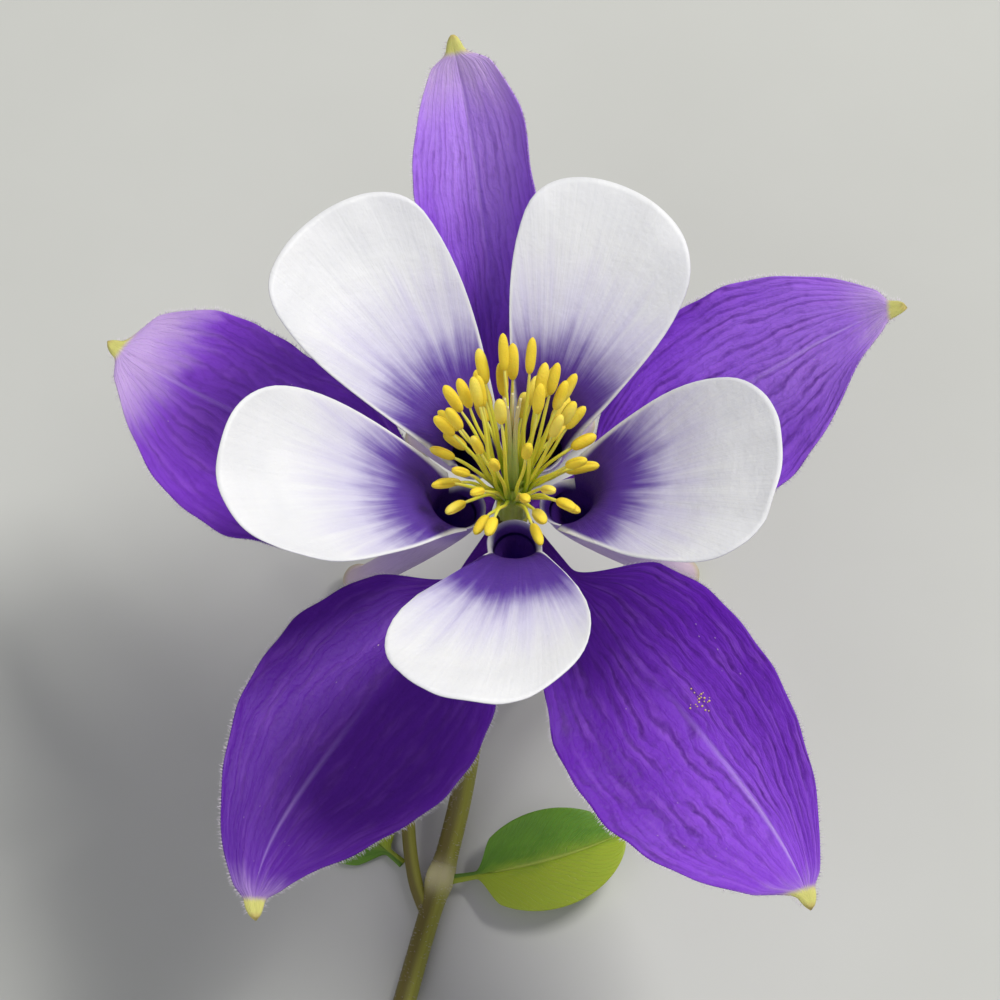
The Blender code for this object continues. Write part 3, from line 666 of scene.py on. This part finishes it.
def petal_outline(p, theta):
    """How far the rim stands from the middle of the throat in each direction: an ellipse behind, a sine-eased
    widening ahead, and a rounded end past the widest place."""
    x = np.concatenate([-RIM_IN * np.cos(np.linspace(0, np.pi / 2, 60, endpoint=False)),
                        np.linspace(0, p["blade"], 400)])
    peak = p["widest"] * p["blade"]
    reach = []
    for wide in (p["wide_left"], p["wide_right"]):
        s = np.clip((x - p["waist"]) / (peak - p["waist"]), 0, 1)
        grow = THROAT_HALF + (wide - THROAT_HALF) * np.sin(s * np.pi / 2)**1.2
        past = np.clip((x - peak) / (p["blade"] - peak), 0, 1)
        tip = wide * (1 - past**p["round"])**(1 / p["round"])
        inner = THROAT_HALF * np.sqrt(np.clip(1 - (x / RIM_IN)**2, 0, 1))
        half = np.where(x < 0, inner, np.where(x < peak, grow, tip))
        angle = np.arctan2(half, x)
        order = np.argsort(angle)
        reach.append(np.interp(np.abs(theta), angle[order], np.hypot(x, half)[order]))
    return np.where(theta >= 0, reach[0], reach[1])


def petal_ways(p):
    """The petal's two level directions: outwards from the bloom's middle, and across, to the left of it."""
    head = math.radians(p["heading"])
    return np.array([math.cos(head), math.sin(head), 0]), np.array([-math.sin(head), math.cos(head), 0])


def petal_blade(p, theta, shares):
    """Rings from the spur's mouth to the rim: along each direction theta, an arc of the fillet's radius out
    of the throat, then a straight run. Returns the points, and for each its run from the mouth, its distance
    to the rim, and its x, how far it stands ahead of the throat's middle."""
    outward, across = petal_ways(p)
    flare = math.radians(MOUTH_FLARE)
    axis = np.array([0, 0, math.cos(flare)]) - outward * math.sin(flare)
    ahead = outward * math.cos(flare) + np.array([0, 0, math.sin(flare)])
    middle = outward * MOUTH_R + np.array([0, 0, MOUTH_Z])
    c, s = np.cos(theta), np.sin(theta)
    mouth = 1 / np.hypot(c / TUBE_RADIAL, s / TUBE_ACROSS)
    front = ((1 + c) / 2)**1.5
    fillet = 1.5 + (p["fillet"] - 1.5) * front
    turn = np.radians(30 + (p["turn_out"] - 30) * front)
    rim = np.maximum(petal_outline(p, theta), mouth + 0.15)
    reach = fillet * (1 - np.cos(turn))
    inside = fillet * np.arccos(np.clip(1 - (rim - mouth) / fillet, -1, 1))
    whole = np.where(rim - mouth <= reach, inside, fillet * turn + (rim - mouth - reach) / np.sin(turn))
    run = shares[:, None] * whole
    arc = np.minimum(run, fillet * turn)
    rho = mouth + fillet * (1 - np.cos(arc / fillet)) + (run - arc) * np.sin(turn)
    height = fillet * np.sin(arc / fillet) + (run - arc) * np.cos(turn)
    x, y = rho * c, rho * s
    far = np.clip(x / p["blade"], 0, None)
    wide = (p["wide_left"] + p["wide_right"]) / 2
    height = height + p["bend"] * p["blade"] * far**2 + p["cup"] * (y / wide)**2 * wide * np.clip(far, 0, 1)
    height = height + p["twist"] * y * far**2
    y = y + p["skew"] * np.clip(x, 0, None)**2 / p["blade"]
    points = middle + x[..., None] * ahead + y[..., None] * across + height[..., None] * axis
    return points, run, whole - run, x


def spur_rings(p, theta, t):
    """Rings of the spur, t from 0 at its mouth to 1 at its foot. Its width falls as exp(-t/NECK) to a thin
    tube and swells near the foot; its course spreads, and drifts to +Y with t^1.3."""
    outward, across = petal_ways(p)
    drop = MOUTH_Z - FLOOR_Z
    lead = math.tan(math.radians(MOUTH_FLARE)) * drop
    t = t[:, None]

    def course(k):
        """The spur's middle line: outwards by a bow and an eased spread, aside with k^2, and down evenly."""
        out = lead * k * (1 - k) + p["spread"] * (p["curl"] * k**2 + (1 - p["curl"]) * k * k * (3 - 2 * k))
        path = outward * (MOUTH_R + out) + across * p["side"] * k**2
        return path + np.array([0, 1, 0]) * SPUR_DRIFT * k**1.3 + np.array([0, 0, 1]) * (MOUTH_Z - drop * k)

    middle = course(t)
    down = unit(course(t + 1e-4) - course(np.maximum(t - 1e-4, 0)))
    side = unit(across - (down @ across)[:, None] * down)
    front = np.cross(side, -down)
    swell = KNOB * np.exp(-((t - 0.95) / 0.03)**2)
    shrink = np.exp(-t / NECK)
    radial = SPUR_R + (TUBE_RADIAL - SPUR_R) * shrink + swell
    wide = SPUR_R + (TUBE_ACROSS - SPUR_R) * shrink + swell
    c, s = np.cos(theta)[None], np.sin(theta)[None]
    rho = 1 / np.hypot(c / radial, s / wide)
    return middle[:, None] + (rho * c)[..., None] * front[:, None] + (rho * s)[..., None] * side[:, None]


def petal_relief(p, theta, x, run, edge):
    """Height over the smooth wall: ribs along the rays, a wave round the rim that dies away inwards as
    exp(-edge/2.2), and a slow ripple along the run. All of it grows with x from the throat."""
    phase = draw.uniform(0, 6.28, 6)
    share = np.clip(x / p["blade"], 0, 1)
    ribs = 0.035 * np.cos(34 * theta + phase[0])[None] + 0.05 * np.cos(13 * theta + phase[1])[None]
    rim_wave = 0.24 * np.sin(9 * theta + phase[2]) + 0.14 * np.sin(23 * theta + phase[3])
    near_rim = np.exp(-edge / 2.2) * share
    height = ribs * share * (1 - near_rim * 0.5) + rim_wave[None] * near_rim
    height = height + 0.12 * np.sin(0.5 * run + phase[4] + 2 * theta) * share
    return np.clip(height, -RELIEF_LIMIT, RELIEF_LIMIT)


def wall_normals(middle):
    """Normals of the petal's wall that point into the spur and to the front of the blade."""
    around_way = np.roll(middle, -1, axis=1) - np.roll(middle, 1, axis=1)
    normals = unit(np.cross(around_way, np.gradient(middle, axis=0)))
    outwards = ((middle[0] - middle[0].mean(axis=0)) * normals[0]).sum() > 0
    return -normals if outwards else normals


def foot_rings(heel, last):
    """The two rings that close the spur: its flat foot on the surface, and one between the foot and the
    spur's last ring. heel is the foot's middle, and last holds the points of the last ring."""
    away = last - last.mean(axis=0)
    foot = heel + away * FOOT_R / np.linalg.norm(away, axis=1).mean()
    foot[:, 2] = FLOOR_Z
    knee = (foot + last) / 2 + away * 0.12
    knee[:, 2] = FLOOR_Z + 0.35 * (last[:, 2] - FLOOR_Z)
    return np.stack([foot, knee])


def wall_marks(values, at_foot):
    """A number for each ring point of a petal: at the foot, up the outside, and down the inside."""
    return np.concatenate([np.full((2, PETAL_AROUND), at_foot), values, values[SPUR_FLOOR:][::-1]])[None]


def petal_wall():
    """White with faint violet threads; near the throat dark violet runs out along the rays in uneven streaks
    and leaves a white margin. The spur is lilac outside and olive at its tip; inside it is violet, darkened
    deeper down by painted shade."""
    finish = Finish("petal_wall", Roughness=0.5, Subsurface_Weight=0.15, Subsurface_Scale=0.0015,
                    Subsurface_Radius=(0.8, 0.8, 1.0), Specular_IOR_Level=0.35)
    run = finish.mark("run")
    ray_x = finish.mark("ray_x")
    ray_y = finish.mark("ray_y")
    inside = finish.mark("inside")
    depth = finish.mark("depth")
    seed = finish.mark("seed")
    streaks = finish.noise(finish.grid(ray_x * 14.0, ray_y * 14.0, seed + run * 0.06), 1.0, 4.0, 0.6)
    soft = finish.noise(finish.grid(ray_x * 3.0, ray_y * 3.0, seed + run * 0.20), 1.0, 3.0)
    threads = finish.noise(finish.grid(ray_x * 46.0, ray_y * 46.0, seed + run * 0.12), 1.0, 2.0)
    pucker = finish.noise(finish.place(), 420.0, 3.0)
    grain = finish.noise(finish.place(), 2600.0, 2.0)
    behind = finish.ease(ray_x * -1.0, 0.1, 0.8)
    reach = run - finish.mark("stretch") + (streaks - 0.5) * -6.0 + (soft - 0.5) * -4.0
    violet = 1.0 - finish.ease(reach, 6.0, 12.5)
    halo = 1.0 - finish.ease(reach + (streaks - 0.5) * -4.0, 9.0, 20.0)
    margin = finish.ease(finish.mark("edge") + behind * 0.9, 0.25, 1.6)

    white = finish.mix(soft, (0.71, 0.725, 0.76), (0.86, 0.865, 0.875))
    face = finish.mix(threads * 0.12 * (1.0 - violet), white, (0.48, 0.49, 0.58))
    face = finish.mix(halo * margin * 0.5, face, (0.36, 0.30, 0.68))
    core = finish.mix(finish.ease(reach, 0.0, 9.0), (0.045, 0.011, 0.17), (0.098, 0.036, 0.33))
    core = finish.mix(streaks * 0.4, core, (0.09, 0.03, 0.32))
    face = finish.mix(violet * margin, face, core)
    back = finish.mix(soft, (0.64, 0.60, 0.76), (0.80, 0.80, 0.86))
    clear = (finish.ease(run, 1.0, 6.0) + behind).math("MINIMUM", 1.0)
    back = finish.mix(clear, (0.36, 0.24, 0.62), back)
    blade = finish.mix(inside, back, face)

    spur = finish.mix(streaks, (0.36, 0.22, 0.60), (0.58, 0.46, 0.76))
    spur = finish.mix(finish.ease(depth, 0.35, 0.9), spur, (0.60, 0.46, 0.58))
    spur = finish.mix(finish.ease(depth, 0.90, 0.97), spur, (0.50, 0.46, 0.16))
    # Painted shade: the violet inside the spur darkens deeper down.
    throat = finish.mix(finish.ease(depth, 0.05, 0.35), (0.20, 0.05, 0.56), (0.07, 0.015, 0.26))
    spur = finish.mix(inside, spur, throat)
    finish.colour(finish.mix(finish.ease(depth, 0.0, 0.16), blade, spur))
    finish.bump(threads * 0.3 + soft * 0.6 + pucker * 0.7 + grain * 0.15, 0.00026, 0.65)
    return finish


petal_finish = petal_wall()
theta = np.linspace(-np.pi, np.pi, PETAL_AROUND, endpoint=False)
theta = theta - 0.5 * np.sin(theta)
flat = np.zeros((len(SPUR_T), PETAL_AROUND))
depth = np.concatenate([SPUR_T[:, None] + flat, np.zeros((len(BLADE_SHARES), PETAL_AROUND))])
inside = np.concatenate([np.zeros((2 + len(depth), PETAL_AROUND)),
                         np.ones((len(depth) - SPUR_FLOOR, PETAL_AROUND))])
for number, (name, p) in enumerate(PETALS.items()):
    blade, blade_run, blade_edge, blade_x = petal_blade(p, theta, BLADE_SHARES)
    middle = np.concatenate([spur_rings(p, theta, SPUR_T), blade])
    run = np.concatenate([(FLOOR_Z - MOUTH_Z) * SPUR_T[:, None] + flat, blade_run])
    edge = np.concatenate([flat + blade_edge[0], blade_edge])
    x = np.concatenate([flat, blade_x])
    off = wall_normals(middle)
    middle = middle + off * petal_relief(p, theta, x, run, edge)[..., None]
    half = 0.15 - 0.10 * np.exp(-edge / 0.9)
    outer_half = np.where(depth > 0, 0.28, half + 0.13 * np.exp(-run / 1.5))
    outer = middle - off * outer_half[..., None]
    inner = middle + off * half[..., None]
    heel = spur_rings(p, theta, np.ones(1))[0].mean(axis=0)
    rings = np.concatenate([foot_rings(heel, outer[0]), outer, inner[SPUR_FLOOR:][::-1]])
    wrap(name.replace("petal", "white_petal"), rings, petal_finish,
         {"run": wall_marks(run, FLOOR_Z - MOUTH_Z), "edge": wall_marks(edge, 1.0),
          "depth": wall_marks(depth, 1.0), "ray_x": np.cos(theta)[None, None],
          "ray_y": np.sin(theta)[None, None], "stretch": p["stretch"], "inside": inside[None],
          "seed": 5.0 * number}, name)

# Stamens. About fifty thin filaments, green at the root and yellow above, on a short green column; each
# carries a plump two-lobed yellow anther. The inner ones stand, the outer ones bend over the throats.

COLUMN_Z = (-2.9, 3.0)
COLUMN_ROWS = 24
COLUMN_AROUND = 60
ANTHER_LONG = 2.8
ANTHER_R = 0.60
ANTHER_FLAT = 0.78
ANTHER_ROWS = 22
ANTHER_AROUND = 20
FILAMENT_ROWS = 26
FILAMENT_AROUND = 8
ROOT_R = 1.22
STAMEN_STEPS = 60
BUNCH_LEAN = 5.0
LEAN_FROM = 5.0
# Each whorl's count, lean in degrees at root and tip, length, height of its roots, and first heading.
WHORLS = (
    (7, 6, 14, 15.5, 2.4, 10),
    (11, 10, 32, 14.0, 2.2, 25),
    (12, 14, 52, 13.0, 1.9, 5),
    (12, 20, 76, 11.0, 1.8, 20),
    (9, 26, 92, 9.0, 1.7, 0),
)


def lean_back(path):
    """Shifts points to +Y by BUNCH_LEAN times (height above LEAN_FROM / 12)^2, as the whole bunch leans."""
    height = np.clip(path[:, 2] - LEAN_FROM, 0, None) / 12
    return path + np.stack([0 * height, BUNCH_LEAN * height**2, 0 * height], -1)


def stamen_path(azimuth, lean_root, lean_tip, length, root_z, steps):
    """A filament that leaves the column at a small lean and curves outwards with s^1.3 to its tip's lean.
    Returns its points at the given steps along it."""
    out = np.array([math.cos(azimuth), math.sin(azimuth), 0])
    s = np.linspace(0, 1, STAMEN_STEPS)
    lean = np.radians(lean_root + (lean_tip - lean_root) * s**1.3)
    step = np.sin(lean)[:, None] * out + np.cos(lean)[:, None] * np.array([0, 0, 1])
    pieces = (step[1:] + step[:-1]) / 2 * length / (STAMEN_STEPS - 1)
    path = np.concatenate([np.zeros((1, 3)), np.cumsum(pieces, 0)])
    path = path + out * ROOT_R + np.array([0, 0, root_z])
    return lean_back(np.stack([np.interp(steps, s * length, path[:, k]) for k in range(3)], -1))


def filament_thread():
    """Green at the root, yellow from the middle on, and paler under the anther."""
    finish = Finish("filament_thread", Roughness=0.45, Subsurface_Weight=0.2, Subsurface_Scale=0.0008)
    u = finish.mark("along")
    tone = finish.noise(finish.place(), 700.0)
    skin = finish.mix(finish.ease(u + (tone - 0.5) * 0.2, 0.05, 0.6), (0.45, 0.60, 0.04), (0.82, 0.78, 0.07))
    finish.colour(finish.mix(finish.ease(u, 0.8, 1.0) * 0.6, skin, (0.74, 0.68, 0.20)))
    finish.bump(tone, 0.00005, 0.5)
    return finish


def anther_pollen():
    """Warm yellow, paler on some anthers, dusty with pollen, and brown-yellow between the two lobes."""
    finish = Finish("anther_pollen", Roughness=0.7, Subsurface_Weight=0.1, Subsurface_Scale=0.0006)
    dust = finish.noise(finish.place(), 5200.0, 3.0, 0.7)
    tone = finish.noise(finish.place(), 420.0, 2.0)
    skin = finish.mix(tone, (0.85, 0.58, 0.008), (0.95, 0.76, 0.02))
    pale = finish.ease(finish.noise(finish.place(), 150.0, 1.0), 0.52, 0.66)
    skin = finish.mix(pale * 0.5, skin, (0.95, 0.84, 0.16))
    skin = finish.mix(dust * 0.3, skin, (0.90, 0.76, 0.16))
    finish.colour(finish.mix(finish.mark("groove") * 0.6, skin, (0.58, 0.36, 0.008)))
    finish.bump(dust, 0.00009, 0.8)
    return finish


def column_green():
    """Mottled yellow-green."""
    finish = Finish("column_green", Roughness=0.5, Subsurface_Weight=0.15, Subsurface_Scale=0.001)
    tone = finish.noise(finish.place(), 900.0, 4.0)
    finish.colour(finish.mix(tone, (0.30, 0.38, 0.03), (0.46, 0.54, 0.07)))
    finish.bump(tone, 0.00015, 0.7)
    return finish


pick = random.Random(11)
filament_s = np.linspace(0, 1, FILAMENT_ROWS)
filament_radii = np.interp(filament_s, [0, 0.9, 1], [0.22, 0.16, 0.11])
sway = filament_s * (1 - filament_s)
anther_s = np.linspace(0, 1, ANTHER_ROWS)
anther_turn = circle(ANTHER_AROUND)
anther_profile = np.clip(1 - np.abs(2 * anther_s - 1)**2.6, 0, 1)**0.5
anther_profile[[0, -1]] = 0.12
lobes = 1 - 0.16 * np.exp(-(np.sin(anther_turn) / 0.28)**2)
groove = np.exp(-(np.sin(anther_turn) / 0.22)**2)
filaments = []
anthers = []
for count, lean_root, lean_tip, length, root_z, turn in WHORLS:
    for i in range(count):
        azimuth = math.radians(turn + 360 * (i + pick.uniform(-0.28, 0.28)) / count)
        reach = length * pick.uniform(0.93, 1.07)
        tip = lean_tip + pick.uniform(-6, 6)
        end = reach - ANTHER_LONG
        path = stamen_path(azimuth, lean_root, tip, reach, root_z, (end + 0.3) * filament_s)
        bend = np.array([math.sin(5 * i + turn), math.cos(3 * i + turn), 0]) * 0.9
        path = path + bend * (sway * np.sin(7 * filament_s + i))[:, None]
        filaments.append(tube_rings(path, filament_radii, FILAMENT_AROUND))
        path = stamen_path(azimuth, lean_root, tip, reach, root_z, end + (ANTHER_LONG - 0.1) * anther_s)
        radius = ANTHER_R + 0.05 * math.sin(7 * i + turn)
        anthers.append(tube_rings(path, radius * anther_profile[:, None] * lobes[None], ANTHER_AROUND,
                                  ANTHER_FLAT))
wrap("filaments", filaments, filament_thread(), {"along": filament_s[None, :, None]})
wrap("anthers", anthers, anther_pollen(), {"groove": groove[None, None]}, "stamens")

column_z = np.linspace(*COLUMN_Z, COLUMN_ROWS)
column_r = np.interp(column_z, [-2.9, -1.5, 1.8, 3.0], [1.43, 1.55, 1.58, 1.3])
column_ribs = 1 + 0.04 * np.cos(15 * circle(COLUMN_AROUND))
column_path = np.stack([0 * column_z, 0 * column_z, column_z], -1)
wrap("stamen_column", tube_rings(column_path, column_r[:, None] * column_ribs[None] * 0.98, COLUMN_AROUND),
     column_green(), {})

# Pistil. Five slim pale green carpels stand side by side in the middle of the stamens, each drawn out into
# a style that bends outwards at its end.

CARPELS = 5
CARPEL_ROWS = 60
CARPEL_AROUND = 16
CARPEL_KNOTS = ((0.24, 3.4), (0.3, 6.5), (0.26, 9.5), (0.4, 12.5), (0.8, 14.95))


def carpel_skin():
    """Pale green, turning straw-coloured up the style."""
    finish = Finish("carpel_skin", Roughness=0.5, Subsurface_Weight=0.2, Subsurface_Scale=0.001)
    tone = finish.noise(finish.place(), 1200.0)
    skin = finish.mix(tone, (0.33, 0.42, 0.09), (0.45, 0.52, 0.17))
    finish.colour(finish.mix(finish.ease(finish.mark("along"), 0.45, 0.9), skin, (0.66, 0.60, 0.30)))
    finish.bump(tone, 0.0001, 0.6)
    return finish


carpel_s = np.linspace(0, 1, CARPEL_ROWS)
carpel_radii = np.interp(carpel_s, [0, 0.25, 0.5, 0.75, 1], [0.3, 0.34, 0.22, 0.15, 0.13])
carpels = []
for i in range(CARPELS):
    azimuth = math.radians(18 + 360 * i / CARPELS)
    knots = np.array([(r * math.cos(azimuth), r * math.sin(azimuth), z) for r, z in CARPEL_KNOTS])
    carpels.append(tube_rings(smooth_path(lean_back(knots), CARPEL_ROWS), carpel_radii, CARPEL_AROUND))
wrap("carpels", carpels, carpel_skin(), {"along": carpel_s[None, :, None]}, "pistil")

# Floor, lights and camera. A plain pale surface, a soft light from the upper right with a wide fill from the
# lower left, and a camera that looks down on the bloom at the photograph's angle.

# In metres, with places measured from the floor's middle; the lens is in millimetres.
FLOOR_HALF = 3
KEY_AT = (0.44, 0.30, 0.78)
FILL_AT = (-0.5, -0.55, 0.7)
DISTANCE = 0.4
LENS = 147
ELEVATION = math.radians(65)
TARGET = (BLOOM + np.array([-1.2, 0, 0])) * MM


def pale_surface():
    """Matt off-white with a very faint mottle."""
    finish = Finish("pale_surface", Roughness=0.9)
    finish.colour(finish.mix(finish.noise(finish.place(), 40.0), (0.52, 0.53, 0.50), (0.56, 0.57, 0.54)))
    return finish


def soft_light(name, where, size, watts, colour):
    """A square lamp, size metres wide, that faces the bloom."""
    lamp = bpy.data.lights.new(name, "AREA")
    lamp.size = size
    lamp.energy = watts
    lamp.color = colour
    made = bpy.data.objects.new(name, lamp)
    made.location = where
    away = np.array(where) - TARGET
    made.rotation_euler = (math.atan2(math.hypot(away[0], away[1]), away[2]), 0,
                           math.atan2(away[1], away[0]) + math.pi / 2)
    bpy.context.scene.collection.objects.link(made)


floor_mesh = bpy.data.meshes.new("floor")
floor_mesh.from_pydata([(FLOOR_HALF * x, FLOOR_HALF * y, 0) for x, y in ((-1, -1), (1, -1), (1, 1), (-1, 1))],
                       [], [(0, 1, 2, 3)])
floor_mesh.materials.append(pale_surface().material)
floor = bpy.data.objects.new("floor", floor_mesh)
bpy.context.scene.collection.objects.link(floor)

soft_light("key", KEY_AT, 0.34, 7.8, (1.0, 0.98, 0.95))
soft_light("fill", FILL_AT, 0.9, 2.8, (0.98, 0.98, 1.0))
world = bpy.data.worlds.new("studio")
world.use_nodes = True
world.node_tree.nodes["Background"].inputs["Color"].default_value = (0.97, 0.98, 1.0, 1)
world.node_tree.nodes["Background"].inputs["Strength"].default_value = 0.27
bpy.context.scene.world = world
bpy.context.scene.view_settings.view_transform = "Standard"

lens = bpy.data.cameras.new("camera")
lens.lens = LENS
lens.sensor_width = 36
lens.clip_start = 0.01
camera = bpy.data.objects.new("camera", lens)
camera.location = (TARGET[0], TARGET[1] - DISTANCE * math.cos(ELEVATION),
                   TARGET[2] + DISTANCE * math.sin(ELEVATION))
camera.rotation_euler = (math.pi / 2 - ELEVATION, 0, 0)
bpy.context.scene.collection.objects.link(camera)
bpy.context.scene.camera = camera
